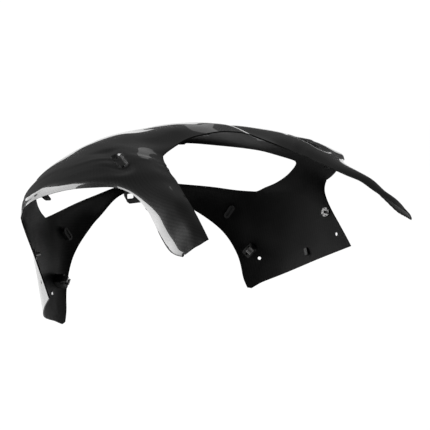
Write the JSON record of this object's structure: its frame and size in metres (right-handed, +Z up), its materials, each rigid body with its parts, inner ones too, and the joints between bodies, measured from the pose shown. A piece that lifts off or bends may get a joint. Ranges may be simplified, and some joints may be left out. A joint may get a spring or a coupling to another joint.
{
  "type": "motorcycle upper front fairing",
  "caption": "Double-curved upper front fairing shell with two lamp openings, windscreen cut, rear arms, side panels and bonded brackets.",
  "frame": {"origin": "under the middle of the whole moulding, level with the lowest tip of the side panels", "axes": "+X forward to the nose, +Y to the rider's left, +Z up, as fitted on the motorcycle"},
  "size_m": [0.549, 0.5616, 0.3296],
  "materials": {
    "carbon": "clear-coated carbon twill outside, satin inside",
    "bracket_black": "satin black",
    "black_plastic": "matt",
    "spring_steel": "dull zinc"
  },
  "bodies": {
    "root": {"fairing_shell": "carbon", "centre_stay": "bracket_black", "side_tab_left": "bracket_black", "side_tab_right": "bracket_black", "lamp_bracket_left": "bracket_black", "lamp_bracket_right": "bracket_black", "brow_boss_left": "black_plastic", "brow_boss_right": "black_plastic", "brow_saddle_left": "bracket_black", "brow_saddle_right": "bracket_black", "hem_block_left": "black_plastic", "hem_block_right": "black_plastic", "block_clip_left": "spring_steel", "block_clip_right": "spring_steel", "arch_pad_left": "black_plastic", "arch_pad_right": "black_plastic", "push_nut_left": "spring_steel", "push_nut_right": "spring_steel", "hem_clip_left": "black_plastic", "hem_clip_right": "black_plastic"}
  },
  "joints": []
}
